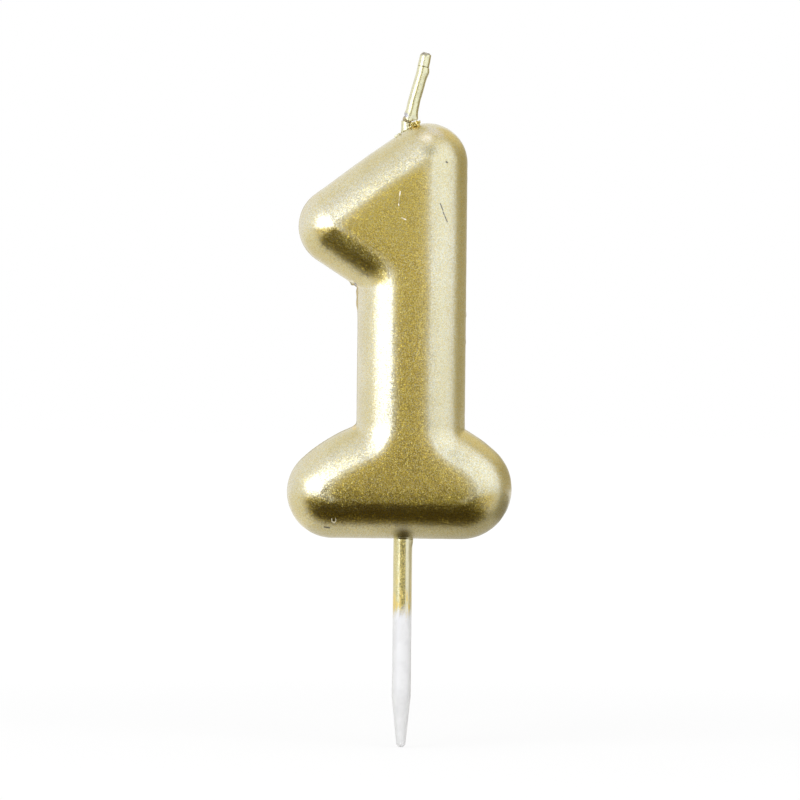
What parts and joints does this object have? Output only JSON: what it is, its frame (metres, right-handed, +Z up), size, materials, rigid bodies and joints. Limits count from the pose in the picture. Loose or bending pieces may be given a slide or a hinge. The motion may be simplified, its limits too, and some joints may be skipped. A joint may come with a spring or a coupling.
{
  "type": "number candle",
  "caption": "Gold lacquered wax numeral candle with rounded edges, a leaning coated wick at its crown and a straight white plastic pick under its foot for standing it in a cake.",
  "frame": {"origin": "on the pick's axis at the underside of the wax foot", "axes": "+Z up along the pick and the stem, +X to the viewer's right, the numeral's front faces -Y"},
  "size_m": [0.0378, 0.0134, 0.1173],
  "materials": {
    "gold_lacquered_wax": "metallic gold lacquer with fine flake over cast paraffin wax",
    "white_plastic": "white moulded plastic, gold overspray on its upper end",
    "cotton_wick": "waxed braided cotton",
    "gold_wick_coat": "hardened priming wax with gold lacquer, cracked and rough"
  },
  "bodies": {
    "candle": {"wax_numeral": "gold_lacquered_wax", "pick": "white_plastic", "wick_core": "cotton_wick", "wick_stub_coat": "gold_wick_coat"},
    "wick_tail": {"wick_tail": "cotton_wick", "wick_tail_coat": "gold_wick_coat", "wick_tip_coat": "gold_wick_coat"}
  },
  "joints": [
    {"name": "wick_bend", "type": "hinge", "parent": "candle", "child": "wick_tail", "pos_m": [0, 0, 0.0706], "axis": [0, 1, 0], "range_deg": [-59, 30]}
  ]
}
